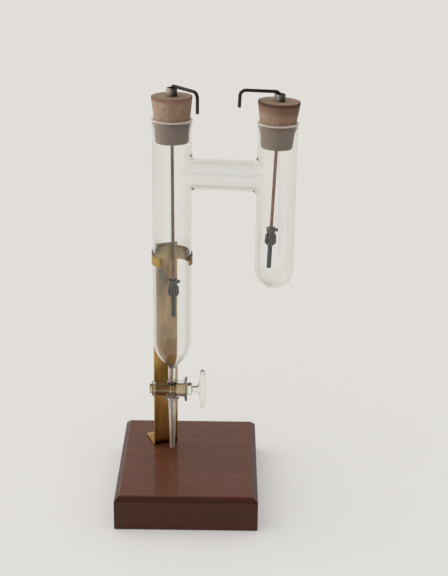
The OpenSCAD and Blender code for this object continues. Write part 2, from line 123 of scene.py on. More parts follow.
# %% [markdown]
# ## Colours and nodes
# A colour read off a screen is an sRGB value, while a shader works with linear
# light, so one function turns the hex value into the other. A second one adds a
# node. An input that is the same all over the surface is simply set; one that
# varies is linked from the node that works it out. Three kinds of node do most
# of the work. A Noise takes a place, a scale, a detail and a roughness. A Map
# Range takes a value, the two numbers that it runs between and the two that
# these become. A Mix takes a share and the two colours it lies between.

# %% Helpers for materials
def tone(code):
    """Linear RGBA of an sRGB hex colour: below 0.04045 a straight line, above it a power of 2.4."""
    s = np.array([int(code[i:i + 2], 16) for i in (1, 3, 5)]) / 255
    return (*np.where(s <= 0.04045, s / 12.92, ((s + 0.055) / 1.055) ** 2.4).tolist(), 1.0)


def add(tree, kind, inputs, **settings):
    """Adds one node. Settings are its own properties. Inputs, by name or in the order in which the node
    shows them, are values, hex colours, or the nodes and sockets to link from. A node stands for the
    first output that its settings leave in use."""
    node = tree.nodes.new("ShaderNode" + kind)
    for name, value in settings.items():
        setattr(node, name, value)
    shown = [socket for socket in node.inputs if socket.enabled]
    for key, value in inputs.items() if isinstance(inputs, dict) else enumerate(inputs):
        socket = node.inputs[key] if isinstance(inputs, dict) else shown[key]
        if isinstance(value, bpy.types.Node):
            value = next(output for output in value.outputs if output.enabled)
        if isinstance(value, bpy.types.NodeSocket):
            tree.links.new(value, socket)
        else:
            socket.default_value = tone(value) if isinstance(value, str) else value
    return node


def blank(name):
    """An empty material, a function that adds its nodes, and the socket of a point's own coordinates."""
    material = bpy.data.materials.new(name)
    material.use_nodes = True
    material.node_tree.nodes.clear()
    node = partial(add, material.node_tree)
    return material, node, node("TexCoord", ()).outputs["Object"]


def close(material, inputs):
    """Ends a material with one Principled shader."""
    shader = add(material.node_tree, "BsdfPrincipled", inputs)
    add(material.node_tree, "OutputMaterial", (shader,))
    print("finish:", material.name, len(material.node_tree.nodes), "nodes")
    return material


# Settings of a Mix node that blends two colours, and of one that darkens the first by the second
BLEND = {"data_type": "RGBA"}
DARKEN = {"data_type": "RGBA", "blend_type": "MULTIPLY"}

# %% [markdown]
# ## Mahogany, stained and varnished
# The base is a planed block of mahogany. Its grain runs across the front. Broad
# ribbons, about six millimetres wide, come from the interlocked growth, and the
# open pores show as short dark dashes. Noise that is squeezed along one axis
# gives both. The sides are painted darker than the top, as shade. The varnish is
# a clear coat over the wood, so that the brass strip shows in it as a soft
# reflection. An old bruise behind the strip is kept.

# %% Finish of the base
RIBBON, PORE, GRAIN_STRETCH, GRAIN_TURN = 6.0, 0.8, 0.06, np.radians(2)
base_low, base_high = corners("wooden_base")
BRUISE, BRUISE_HALF = np.array([6.0, 33.8, base_high[2]]), np.array([4.6, 1.3, 4.0])

# A dark red-brown body with little gloss of its own under a thin glossy coat
mahogany, node, where = blank("mahogany_stained_and_varnished")
grain = node("Mapping", {"Vector": where, "Scale": (GRAIN_STRETCH, 1, 1), "Rotation": (0, 0, GRAIN_TURN)})
ribbon = node("TexNoise", (grain, 1 / (RIBBON * MM), 4, 0.6))
pores = node("TexNoise", (grain, 1 / (PORE * MM), 2))
streak = node("MapRange", (ribbon, 0.32, 0.68))
streaked = node("Mix", (streak, "#673A27", "#70422D"), **BLEND)
pore_line = node("MapRange", (pores, 0.56, 0.70, 0, 0.35))
with_pores = node("Mix", (pore_line, streaked, "#42271D"), **BLEND)
over_bruise = {"Scale": 1 / (BRUISE_HALF * MM), "Location": -BRUISE / BRUISE_HALF}
at_bruise = node("Mapping", {"Vector": where, **over_bruise})
from_bruise = node("VectorMath", (at_bruise,), operation="LENGTH")
bruise = node("MapRange", (from_bruise, 1.0, 0.45, 0, 0.7))
with_bruise = node("Mix", (bruise, with_pores, "#2A1510"), **BLEND)
z = node("SeparateXYZ", (where,)).outputs["Z"]
# The sides and the chamfer, below the top, are painted darker, as shade
shade_below_top = node("MapRange", (z, (base_high[2] - 0.3) * MM, (base_high[2] - 0.9) * MM))
sides = node("Mix", (shade_below_top, with_bruise, "#B7A8A3"), **DARKEN)
open_grain = node("Bump", {"Height": pores, "Strength": 0.08, "Distance": 0.1 * MM})
close(mahogany, {
    "Base Color": sides, "Roughness": 0.45, "Specular IOR Level": 0.15, "Normal": open_grain,
    "Coat Weight": 0.30, "Coat Roughness": 0.06, "Coat IOR": 1.5,
})

# %% [markdown]
# ## Brass, rolled and aged
# The strip, the clip and the small fixings are all brass, but each has aged in
# its own way. The strip's lacquer has gone brown, most of all low down, and a
# dark band of painted shade lies just above its bend, where it meets the wood.
# The spring clip is rubbed brighter, and its right ear is painted darker, as the
# shade that its curled face lies in. The fixings lie in between. One function
# makes all three: a patchy tarnish between a dark and a light tone, painted
# shade where it is asked for, and the fine lines that the rolls left on the metal.

# %% Finishes of the brass
PATCH, PATCH_STRETCH = 9.0, 0.3
ROLL_LINE, ROLL_STRETCH, ROLL_SHARE = 0.5, 0.025, 0.35


def aged_brass(name, dark, light, roughness, tarnish_and_shade=None, contact_shade=None):
    """Brass whose colour runs between two tones in patches, with faint lines along its height. Tarnish and
    shade gives two other tones, real tarnish on the strip and painted shade on the clip, the axis along
    which they take over, and the places in millimetres where they are complete and where they start.
    Contact shade is the height, in millimetres, above which a band of painted shade lies."""
    brass, node, where = blank(name)
    run = node("Mapping", {"Vector": where, "Scale": (1, 1, PATCH_STRETCH)})
    patch = node("TexNoise", (run, 1 / (PATCH * MM), 5, 0.62))
    drawn = node("Mapping", {"Vector": where, "Scale": (1, 1, ROLL_STRETCH)})
    lines = node("TexNoise", (drawn, 1 / (ROLL_LINE * MM), 2))
    both = node("Math", (lines, ROLL_SHARE, patch), operation="MULTIPLY_ADD")
    tarnish = node("MapRange", (both, 0.5, 0.86))
    colour = node("Mix", (tarnish, dark, light), **BLEND)
    # A second pair of tones takes over along an axis: real tarnish low on the strip, painted shade on the
    # clip's right ear
    if tarnish_and_shade:
        deep, pale, axis, complete, start = tarnish_and_shade
        brown = node("Mix", (tarnish, deep, pale), **BLEND)
        along = node("SeparateXYZ", (where,)).outputs[axis]
        clear = node("MapRange", (along, complete * MM, start * MM))
        colour = node("Mix", (clear, brown, colour), **BLEND)
    # A dark band of painted shade a few millimetres high above the given height, for the strip's foot at
    # the wood
    if contact_shade:
        z = node("SeparateXYZ", (where,)).outputs["Z"]
        shade_start = node("MapRange", (z, contact_shade * MM, (contact_shade + 0.3) * MM))
        shade_fading = node("MapRange", (z, (contact_shade + 4.5) * MM, (contact_shade + 1.2) * MM))
        thick = node("Math", (shade_start, shade_fading), operation="MULTIPLY")
        colour = node("Mix", (thick, colour, "#2A1C10"), **BLEND)
    dullness = node("MapRange", (tarnish, 0, 1, roughness + 0.12, roughness))
    rolled = node("Bump", {"Height": lines, "Strength": 0.12, "Distance": 0.05 * MM})
    return close(brass, {"Base Color": colour, "Metallic": 1.0, "Roughness": dullness, "Normal": rolled})


# Brown and half dull with a band of painted shade at its foot, brighter and half polished with
# painted shade on its right ear, and dark and half dull
strip_brass = aged_brass("brass_strip_rolled_and_browned", "#A8834E", "#DDB674", 0.36,
                         tarnish_and_shade=("#AA8042", "#DCB064", "Z", 88, 108), contact_shade=26.3)
clip_brass = aged_brass("brass_spring_sheet_rubbed", "#9A7838", "#DDBE74", 0.28,
                        tarnish_and_shade=("#5C3A1C", "#84592C", "X", 2, -1))
fixing_brass = aged_brass("brass_fixings_turned", "#80602A", "#B8924A", 0.32)

# %% [markdown]
# ## Glass, blown and ground
# Blown tubing is clear, with a faint unevenness along its length where it was
# drawn, which only shows as it bends what lies behind it. The lip's bead and the
# edges of the jet's thick wall carry a painted highlight: the glass is made
# creamy and less clear there, so that it shows bright.
# The stopcock's barrel and plug are ground together, so the plug is frosted
# where it turns in the barrel, with a film of yellowed grease, and polished on
# its handle. A distance along the stopcock's axis tells the two apart.

# %% Finishes of the glass
DRAW_LINE, DRAW_STRETCH, GRIT, INDEX = 5.0, 0.06, 0.6, 1.49
GROUND_TO = 10.2
limb_foot, limb_lip = [corner[2] for corner in corners("long_limb")]
jet_tip, jet_top = [corner[2] for corner in corners("outlet_jet")]

# Clear soda glass: a faint straw tint that only tells where the wall is seen edge on
cell_glass, node, where = blank("soda_glass_blown")
drawn = node("Mapping", {"Vector": where, "Scale": (1, 1, DRAW_STRETCH)})
draw_lines = node("TexNoise", (drawn, 1 / (DRAW_LINE * MM), 1))
unevenness = node("Bump", {"Height": draw_lines, "Strength": 0.05, "Distance": 0.3 * MM})
haze = node("MapRange", (draw_lines, 0, 1, 0, 0.03))
edge_on = node("LayerWeight", {"Blend": 0.25}).outputs["Facing"]
straw = node("Mix", (edge_on, "#FDFDFC", "#E4E1D7"), **BLEND)
z = node("SeparateXYZ", (where,)).outputs["Z"]
# A painted highlight: on the lip's bead and on the jet's edges the glass turns creamy and less clear, to
# show bright
on_lip = node("MapRange", (z, (limb_lip - 1.5) * MM, (limb_lip - 1.0) * MM))
in_jet = node("MapRange", (z, (jet_top - 2) * MM, (jet_top - 4) * MM, 0, 3))
jet_edge_highlight = node("Math", (in_jet, edge_on), operation="MULTIPLY")
painted_highlight = node("Math", (on_lip, jet_edge_highlight), operation="MAXIMUM")
highlighted = node("Mix", (painted_highlight, straw, "#F6E8DA"), **BLEND)
clearness = node("MapRange", (painted_highlight, 0, 1, 1, 0.45))
close(cell_glass, {
    "Base Color": highlighted, "Transmission Weight": clearness, "IOR": INDEX, "Roughness": haze,
    "Normal": unevenness,
})

# The same glass, frosted along the ground taper of the plug
plug_glass, node, where = blank("soda_glass_ground_taper")
along = node("VectorMath", (where, ALONG_PLUG), operation="DOT_PRODUCT")
grit = node("TexNoise", (where, 1 / (GRIT * MM), 2))
ground_end = np.dot(barrel_place[0], ALONG_PLUG) + GROUND_TO
ground = node("MapRange", (along, ground_end * MM, (ground_end + 0.8) * MM, 1, 0))
dulled = node("MapRange", (grit, 0, 1, 0, 0.22))
frost = node("Math", (ground, dulled), operation="MULTIPLY")
greased = node("Mix", (ground, "#FAFAF4", "#D2C197"), **BLEND)
close(plug_glass, {"Base Color": greased, "Transmission Weight": 1.0, "IOR": INDEX, "Roughness": frost})

# %% [markdown]
# ## Rubber, moulded and perished
# The stoppers are old red rubber that has bleached to a dusty greyish brown.
# The skin is matt and slightly mottled, and its right side is painted darker, as
# shade. Only a narrow band under the top edge has stayed redder. The rubber
# inside the glass is painted paler, light on the left and shaded on the right,
# as the light that the glass lets through. Three attributes of the mesh mix these
# tones in: the height above the top, which is mostly negative, the distance
# across, and the distance in from the edge of the top. The right stopper is the
# darker one.

# %% Finish of the stoppers
MOTTLE, SPECK, LEAN = 3.0, 0.5, 0.07
# From the first to the second X, in metres, a finish turns from the left side's to the right side's
HALFWAY = 0.02, 0.04

# Dead matt, with a soft mottle and a redder band below the rim
rubber, node, where = blank("red_rubber_moulded_and_bleached")
names = "height_mm", "across_mm", "edge_mm"
height, across, edge = [node("Attribute", (), attribute_name=name).outputs["Fac"] for name in names]
mottle = node("TexNoise", (where, 1 / (MOTTLE * MM), 6, 0.6))
specks = node("TexNoise", (where, 1 / (SPECK * MM), 2))
on_right = node("MapRange", (node("SeparateXYZ", (where,)), *HALFWAY))

# The bleached skin, painted darker on its right side as shade, and its redder rim
wavy = node("Math", (mottle, 2.0, height), operation="MULTIPLY_ADD")
band = node("MapRange", (wavy, -2.2, 0, 0, 0.75))
spread = node("MapRange", (mottle, 0.3, 0.7))
side_shade = node("MapRange", (across, -11.0, 2.2))
rim = node("Mix", (on_right, "#8C6254", "#5A4234"), **BLEND)
bleached = node("Mix", (spread, "#B89A85", "#D1B7A2"), **BLEND)
skin = node("Mix", (side_shade, bleached, "#C8C0B8"), **DARKEN)
redder = node("Mix", (band, skin, rim), **BLEND)

# The right stopper is darker outside the glass, most of all in its upper part
outside = node("MapRange", (height, -15, -13))
slanted = node("Math", (across, LEAN, wavy), operation="MULTIPLY_ADD")
upper = node("MapRange", (slanted, -8, -4, 0.25, 1))
exposed = node("Math", (on_right, outside), operation="MULTIPLY")
older = node("Math", (exposed, upper), operation="MULTIPLY")
aged = node("Mix", (older, redder, "#CEC2B8"), **DARKEN)

# The flat top with its worn edge, and the part inside the glass, painted paler with painted light and shade
top = node("MapRange", (height, -0.25, -0.05))
topped = node("Mix", (top, aged, "#9A8470"), **BLEND)
ring = node("MapRange", (edge, 1.3, 0.6))
worn = node("Math", (ring, top), operation="MULTIPLY")
rimmed = node("Mix", (worn, topped, rim), **BLEND)
kept = node("MapRange", (height, -15, -17.5, 0, 0.6))
painted_light_in_glass = node("Mix", (side_shade, "#F4DEC8", "#B79F8B"), **BLEND)
inside = node("Mix", (kept, rimmed, painted_light_in_glass), **BLEND)
dusty = node("Bump", {"Height": specks, "Strength": 0.15, "Distance": 0.1 * MM})
close(rubber, {"Base Color": inside, "Roughness": 0.85, "Specular IOR Level": 0.25, "Normal": dusty})

# %% [markdown]
# ## The metals of the electrodes
# The sleeves are plated tube, painted black on their right side as shade. The
# leads are stiff copper wire, nearly black where hands and air have reached the
# hook and still brown inside the glass. The chucks and their nuts are
# blackened, and the valleys between the nut's ribs are painted darker as shade.
# The electrode pins are a dull grey. All four are the same idea with other
# tones: a metal whose colour drifts with noise, and on the wire also with height.

# %% Finishes of the electrodes
BLOTCH = 4.0


def dull_metal(name, dark, light, patch, roughness, metallic=1.0, painted_shade=None):
    """A metal whose tarnish drifts between two tones in patches of a given size in millimetres. Painted
    shade gives a darker third tone, the attribute that brings it on, and the numbers where it starts and
    is complete."""
    metal, node, where = blank(name)
    spots = node("TexNoise", (where, 1 / (patch * MM), 5, 0.65))
    drift = node("MapRange", (spots, 0.36, 0.64))
    colour = node("Mix", (drift, dark, light), **BLEND)
    if painted_shade:
        shade_tone, attribute, start, complete = painted_shade
        side = node("Attribute", (), attribute_name=attribute).outputs["Fac"]
        shade_share = node("MapRange", (side, start, complete, 0, 0.9))
        colour = node("Mix", (shade_share, colour, shade_tone), **BLEND)
    pitted = node("Bump", {"Height": spots, "Strength": 0.15, "Distance": 0.05 * MM})
    inputs = {"Base Color": colour, "Metallic": metallic, "Roughness": roughness, "Normal": pitted}
    return close(metal, inputs)


# Bright but stained plate with painted shade on its right side, near-black steel with painted shade
# between its ribs, and dull grey metal
sleeve_metal = dull_metal("plated_tube_tarnished_and_shaded", "#B8B2A6", "#D6D0C4", 3.0, 0.26,
                          painted_shade=("#2C2925", "across_mm", -1.8, 1.2))
chuck_metal = dull_metal("steel_chuck_blackened", "#3A3734", "#86817A", 1.1, 0.36, 0.85,
                         painted_shade=("#0C0B0A", "valley_shade", 0.25, 0.8))
pin_metal = dull_metal("electrode_metal_dulled", "#3B3C3D", "#5E5F61", 2.0, 0.5, 0.7)

# Copper: bare brown metal low down, redder on the right lead, black oxide from the stopper upwards
lead_copper, node, where = blank("copper_wire_oxidised")
height = node("Attribute", (), attribute_name="height_mm").outputs["Fac"]
blotch = node("TexNoise", (where, 1 / (BLOTCH * MM), 4))
drift = node("MapRange", (blotch, 0.3, 0.7))
brown = node("Mix", (drift, "#6B574D", "#A07E6C"), **BLEND)
red = node("Mix", (drift, "#7C5848", "#BA8468"), **BLEND)
on_right = node("MapRange", (node("SeparateXYZ", (where,)), *HALFWAY))
bare = node("Mix", (on_right, brown, red), **BLEND)
oxide = node("MapRange", (height, -10, 12))
coated = node("Mix", (oxide, bare, "#3E3831"), **BLEND)
close(lead_copper, {"Base Color": coated, "Metallic": 0.85, "Roughness": 0.42})

# %% [markdown]
# ## From numbers to a mesh
# A surface is a grid of points: its rows follow a profile and its columns go
# round. Four neighbours make one face, so the faces are only arithmetic on the
# numbers of the points. Points that fall together, at a pole or a seam, are
# merged afterwards, and then the faces are turned outwards.

# %% Helpers for meshes
def columns(*values):
    """Points whose coordinates are given one by one, each as a number or an array."""
    return np.stack(np.broadcast_arrays(*values), axis=-1)


def quads(rows, cols, closed_rows=False, closed_cols=True):
    """Point numbers of a grid's faces, row by row. A closed direction joins its last line to its first."""
    r = np.arange(rows - (not closed_rows))[:, None]
    c = np.arange(cols - (not closed_cols))[None, :]
    here, above = r * cols, (r + 1) % rows * cols
    right = (c + 1) % cols
    return columns(here + c, here + right, above + right, above + c).reshape(-1, 4)


def grid(points, closed_rows=False, closed_cols=True):
    """A shell, points and faces, of a grid of points of rows by columns."""
    rows, cols = points.shape[:2]
    return points.reshape(-1, 3), quads(rows, cols, closed_rows, closed_cols)


def add_shell(shape, points, faces, inward=False):
    """Adds one shell to a bmesh, its doubles merged and its faces turned outwards, or inwards where it
    bounds a hollow. Points that no face uses are left out."""
    used, numbers = np.unique(faces, return_inverse=True)
    mesh = bpy.data.meshes.new("shell")
    mesh.from_pydata((points[used] * MM).tolist(), [], numbers.reshape(faces.shape).tolist())
    part = bmesh.new()
    part.from_mesh(mesh)
    bmesh.ops.remove_doubles(part, verts=part.verts, dist=0.001 * MM)
    bmesh.ops.recalc_face_normals(part, faces=part.faces)
    if inward:
        bmesh.ops.reverse_faces(part, faces=part.faces)
    part.to_mesh(mesh)
    part.free()
    shape.from_mesh(mesh)
    bpy.data.meshes.remove(mesh)


def put(name, data):
    """A new object in the scene, at the origin, unturned and unscaled."""
    thing = bpy.data.objects.new(name, data)
    bpy.context.scene.collection.objects.link(thing)
    return thing


def piece(name, shells, material, body, nodes, hollows=()):
    """A finished piece: its shells in one smooth mesh, riding a body in the place of CAD nodes."""
    shape = bmesh.new()
    for points, faces in shells:
        add_shell(shape, points, faces)
    for points, faces in hollows:
        add_shell(shape, points, faces, inward=True)
    mesh = bpy.data.meshes.new(name)
    shape.to_mesh(mesh)
    shape.free()
    mesh.shade_smooth()
    mesh.materials.append(material)
    thing = put(name, mesh)
    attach(thing, body)
    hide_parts(*nodes)
    print("piece:", name, len(mesh.polygons), "faces")
    return thing


def own_points(thing, place):
    """A piece's points, in the millimetres of a place: one array each of X, Y and Z."""
    points = np.empty(3 * len(thing.data.vertices))
    thing.data.vertices.foreach_get("co", points)
    return ((points.reshape(-1, 3) / MM - place[0]) @ place[1]).T


def keep(thing, name, values):
    """Keeps one number for each point of a piece as a named attribute."""
    thing.data.attributes.new(name, "FLOAT", "POINT").data.foreach_set("value", values)

# %% [markdown]
# ## Two ways to draw a surface
# Nearly everything here is turned, so the first tool carries a profile round an
# axis. The second carries a closed section along a path, for bent wire and bent
# strip. Real edges are never perfectly sharp, and a rounded edge catches the
# light, so a helper rounds the corners of any outline before it is used.

# %% Profiles and paths
def arc(angles):
    """Points on a circle of radius one: the cosine and the sine of each angle."""
    return columns(np.cos(angles), np.sin(angles))


def eased(outline, cut, steps=5):
    """An outline with rounded corners. A corner p, cut back by c towards its neighbours to a and b,
    becomes the curve (1-t)(1-t)a + 2t(1-t)p + ttb. A point is kept beyond each end so that the flats
    stay flat. A corner with no cut stays a point."""
    p = np.array(outline, float)
    c = np.broadcast_to(np.array(cut, float).reshape(-1, 1), (len(p), 1))
    back, on = unit(np.roll(p, 1, axis=0) - p), unit(np.roll(p, -1, axis=0) - p)
    t = np.linspace(0, 1, steps)[:, None, None]
    a, b = p + c * back, p + c * on
    curve = (1 - t) ** 2 * a + 2 * t * (1 - t) * p + t ** 2 * b
    curve = np.concatenate([[p + 1.6 * c * back], curve, [p + 1.6 * c * on]])
    return curve.transpose(1, 0, 2).reshape(-1, p.shape[1])


def revolve(profile, turns=96, ribs=0, rib_depth=0.0):
    """Each (radius, height) of a profile goes once round Z: x = r cos a, y = r sin a. Ribs make the
    radius r - depth (1 + cos(ribs a)) / 2."""
    angle = np.linspace(-np.pi, np.pi, turns, endpoint=False)
    r, z = np.array(profile, float).T[:, :, None]
    r = r - np.reshape(rib_depth, (-1, 1)) * (1 + np.cos(ribs * angle)) / 2
    return columns(r * np.cos(angle), r * np.sin(angle), z)


def turned(profile, place, turns=96, closed=True, **ribs):
    """A turned shell in a place. A closed profile bounds a ring, and an open one runs from pole to pole."""
    return grid(settle(revolve(profile, turns, **ribs), place), closed)


def carry(section, path, across, ease=0.2, stretch=None):
    """A closed section carried along a flat path. Its first number runs along across, square to the
    path, and its second along heading x across. Both ends are rounded by ease and closed. Stretch
    scales the first number along the path."""
    step = np.linalg.norm(np.diff(path, axis=0), axis=1)
    s = np.concatenate([[0], np.cumsum(step)])
    end, drawn_in = ease * np.array([0, 0, 0.3, 1]), ease * np.array([1, 1, 0.3, 0])
    middle = s[(s > 1.5 * ease) & (s < s[-1] - 1.5 * ease)]
    at = np.concatenate([end, middle, s[-1] - end[::-1]])
    inset = np.concatenate([drawn_in, 0 * middle, drawn_in[::-1]])[:, None, None]
    heading = np.gradient(path, s, axis=0)
    line = columns(*[np.interp(at, s, k) for k in path.T])
    heading = unit(columns(*[np.interp(at, s, k) for k in heading.T]))
    slope = np.roll(section, -1, axis=0) - np.roll(section, 1, axis=0)
    outward = unit(columns(slope[:, 1], -slope[:, 0]))
    ring = section - inset * outward
    ring[[0, -1]] = 0
    if stretch is not None:
        ring[..., 0] *= np.interp(at, s, stretch)[:, None]
    side = np.cross(heading, across)
    return line[:, None] + ring[..., :1] * across + ring[..., 1:] * side[:, None]


def rounded_bar(width, thickness, cut):
    """A rectangle round the origin, anticlockwise, with eased corners."""
    w, t = width / 2, thickness / 2
    return eased([[w, -t], [w, t], [-w, t], [-w, -t]], cut)

# %% [markdown]
# ## The base
# A planed block with a chamfer run round its top edge and every arris just
# broken with fine paper. A scaled cube with a bevel would come close; here the
# outline seen from above is drawn in level by level along the block's profile,
# which gives the chamfer and the softened arrises in one sheet.

# %% Wooden base
CHAMFER, ARRIS, UPRIGHT_ARRIS = 3.5, 0.55, 0.6
half = (base_high - base_low)[:2] / 2
low, base_top = base_low[2], base_high[2]
plan = eased(half * [[1, -1], [1, 1], [-1, 1], [-1, -1]], UPRIGHT_ARRIS)
levels = eased(
    [[half[0], low], [0, low], [0, base_top - CHAMFER], [CHAMFER, base_top], [half[0], base_top]],
    [0, ARRIS, ARRIS, ARRIS, 0],
)
block = np.sign(plan) * np.maximum(np.abs(plan) - levels[:, None, :1], 0)
block = columns(block[..., 0], block[..., 1], levels[:, 1:])
piece("base_block", [grid(block)], mahogany, "stand", ["wooden_base"])

# %% [markdown]
# ## The brass upright
# One strip of rolled brass, bent at its foot and screwed down. A thin section
# with eased edges is carried down the strip, round the bend and out along the
# foot, just as the metal itself was bent.

# %% Brass upright
STRIP_WIDTH, STRIP, BEND, FOOT = 18.0, 1.3, 0.6, 20.5
TUBE, WALL, CLIP_SHEET, CLIP_GAP = 13.5, 1.0, 0.7, 0.1
STRIP_FRONT = TUBE + CLIP_GAP + CLIP_SHEET
strip_top = corners("brass_upright")[1][2]
bend_y, bend_z, bend_radius = STRIP_FRONT + STRIP + BEND, base_top + STRIP + BEND, BEND + STRIP / 2
turn = np.linspace(np.pi, 1.5 * np.pi, 13)
bend = columns(0, bend_y + bend_radius * np.cos(turn), bend_z + bend_radius * np.sin(turn))
drop = np.linspace(strip_top, bend[0, 2] + 1, 30)
foot_end = STRIP_FRONT + FOOT
path = np.concatenate([
    columns(0, STRIP_FRONT + STRIP / 2, drop), bend,
    [[0, foot_end - 4, base_top + STRIP / 2], [0, foot_end, base_top + STRIP / 2]],
])
strip = carry(rounded_bar(STRIP_WIDTH, STRIP, 0.3), path, np.array([1.0, 0, 0]), 0.25)
strip = grid(settle(strip, upright_place))
piece("upright_strip", [strip], strip_brass, "stand", ["brass_upright"])

# %% [markdown]
# ## The spring clip
# A band of springy sheet that grips the long limb. Its two ends curl outwards,
# so that the glass can be pressed in, and their corners are rounded. The band's
# plan is a path: ear, circle, ear. The same carrying tool follows it with a
# thin upright section. The section narrows towards the ears, and shrinks near
# the tips for the corners.

# %% Tube clip
MOUTH_RIGHT, MOUTH_LEFT = np.radians(44), np.radians(59)
EAR, EAR_TURN, EAR_CORNER = 2.3, np.radians(80), 3.0
EAR_HEIGHT, EAR_DROP, NARROW_FROM, NARROW_TO = 6.6, 0.6, 20.0, 8.0
clip_low, clip_high = [corner[2] for corner in corners("tube_clip")]
clip_middle, clip_height = (clip_low + clip_high) / 2, clip_high - clip_low
band = TUBE + CLIP_GAP + CLIP_SHEET / 2


def ear(mouth):
    """Plan of a right-hand ear, from its tip to the band: an arc round a centre that lies an ear's
    radius outside the band's end."""
    end = mouth - np.pi / 2
    curl = end + np.pi + np.linspace(EAR_TURN, 0, 14)
    return (band + EAR) * arc(end) + EAR * arc(curl)


sweep = np.linspace(MOUTH_RIGHT - np.pi / 2, 1.5 * np.pi - MOUTH_LEFT, 90)[1:-1]
plan = np.concatenate([ear(MOUTH_RIGHT), band * arc(sweep), ear(MOUTH_LEFT)[::-1] * [-1, 1]])
along = np.concatenate([[0], np.cumsum(np.linalg.norm(np.diff(plan, axis=0), axis=1))])
to_tip = np.minimum(along, along[-1] - along)
into_ear = np.clip((NARROW_FROM - to_tip) / (NARROW_FROM - NARROW_TO), 0, 1)
into_ear = into_ear ** 2 * (3 - 2 * into_ear)
into_corner = np.clip(1 - to_tip / EAR_CORNER, 0, 1)
corner_cut = EAR_CORNER * (1 - np.sqrt(1 - into_corner ** 2))
half_height = (clip_height - (clip_height - EAR_HEIGHT) * into_ear) / 2 - corner_cut
path = columns(*plan.T, clip_middle - EAR_DROP * into_ear)
sheet = carry(rounded_bar(clip_height, CLIP_SHEET, 0.18), path, UP, 0.15, 2 * half_height / clip_height)
piece("spring_clip", [grid(settle(sheet, upright_place))], clip_brass, "stand", ["tube_clip"])

# %% [markdown]
# ## Rivets and screws
# Two rivets hold the clip to the strip, and two round-headed wood screws hold
# the foot. A head is a turned dome. The screws also have a slot, which is the
# same dome with its height lowered wherever a point lies close to one diameter.

# %% Fixings
def dome(radius, height, shank_radius, shank):
    """Profile of a round head on a shank, from the shank's end to the pole: the head's radius falls as
    the cosine of an angle and its height grows as the sine."""
    foot = eased([[0, -shank], [shank_radius, -shank], [shank_radius, 0], [radius, 0]], [0, 0.2, 0, 0], 3)
    return np.concatenate([foot, [radius, height] * arc(np.linspace(0, np.pi / 2, 14))])


def slotted(points, width, depth, floor):
    """Lowers the points above a floor by a depth inside a slot along X: the cut fades out over a tenth
    of a millimetre at the slot's sides."""
    x, y, z = np.moveaxis(points, -1, 0)
    cut = depth * np.clip((width / 2 + 0.05 - np.abs(y)) / 0.1, 0, 1)
    return columns(x, y, np.where(z > floor, np.maximum(z - cut, floor), z))


RIVET_SPACING, SCREW_SPACING = 6.0, 7.0
rivet = dome(radius=1.8, height=0.9, shank_radius=1.0, shank=1.2)
screw = revolve(dome(radius=2.8, height=1.8, shank_radius=1.5, shank=8.0), 120)
screw = slotted(screw, width=0.7, depth=0.8, floor=0.6)
screw_y = bend_y + (FOOT - STRIP - BEND) / 2
behind = place_at(upright_place[0], upright_place[1][:, 1], UP)
rivets, screws = [], []
for side in (-1, 1):
    on_strip = moved(behind, [clip_middle, side * RIVET_SPACING / 2, STRIP_FRONT + STRIP])
    on_foot = moved(upright_place, [0, screw_y + side * SCREW_SPACING / 2, base_top + STRIP])
    rivets.append(turned(rivet, on_strip, 40, closed=False))
    screws.append(grid(settle(screw, on_foot)))
piece("clip_rivet_heads", rivets, fixing_brass, "stand", ["clip_rivets"])
piece("foot_screw_heads", screws, fixing_brass, "stand", ["foot_screws"])

# %% [markdown]
# ## The glass cell
# The glassblower opened a hole in each limb and sealed the bridge to it, and
# the hot glass drew itself into a smooth flare all round. Booleans would leave
# a hard seam there, which clear glass shows at once. So each limb is a turned
# grid with a window left out, and the window is filled with rings of points:
# across the limb's own wall to the edge of the flare, along the flare, and out
# along the bridge to its middle. The same is done inside, and the two walls
# join over the beaded lip, so the whole cell is one closed sheet of glass.

# %% Outline of a limb
BORE, LIP = TUBE - WALL, 0.8
BRIDGE, BRIDGE_DROP = 10.6, 37.9
TURNS, WINDOW_ROWS, WINDOW_COLS, BELOW = 96, 16, 44, 14
WINDOW, WINDOW_ANGLE = 15.0, WINDOW_COLS / TURNS * np.pi
bridge_z = limb_lip - BRIDGE_DROP


def wall_heights(bottom, top):
    """Heights of a limb's straight wall: even steps up to the window, through it and on to the lip."""
    lower, upper = bridge_z - WINDOW, bridge_z + WINDOW
    return np.concatenate([
        np.linspace(bottom, lower, BELOW, endpoint=False),
        np.linspace(lower, upper, WINDOW_ROWS + 1),
        np.linspace(upper, top, 6)[1:],
    ])


def limb_profile(outside_foot, inside_foot):
    """Profile of a limb, from its outer foot over the lip to its inner foot, and the row where each
    window starts. The lip is an arc of 255 degrees round a centre inside the bead."""
    a = np.linspace(-np.arccos((WALL - LIP) / LIP), np.pi, 16)[1:-1]
    lip = [BORE + LIP, limb_lip - LIP] + LIP * arc(a)
    outside = wall_heights(outside_foot[-1, 1], limb_lip - 2 * LIP)[1:]
    inside = wall_heights(inside_foot[-1, 1], limb_lip - LIP)[1:]
    profile = np.concatenate([
        outside_foot, columns(TUBE, outside), lip, columns(BORE, inside)[::-1], inside_foot[::-1],
    ])
    first_out = len(outside_foot) + BELOW - 1
    first_in = len(profile) - len(inside_foot) - (BELOW + WINDOW_ROWS)
    return profile, first_out, first_in

# %% Filling a limb's window with the flare of the bridge
# How far a flare spreads at the bridge's sides, and above and below it
FLARE_OUT, FLARE_IN = (2.2, 3.5), (2.4, 4.0)
FLARE_PULL = 0.6


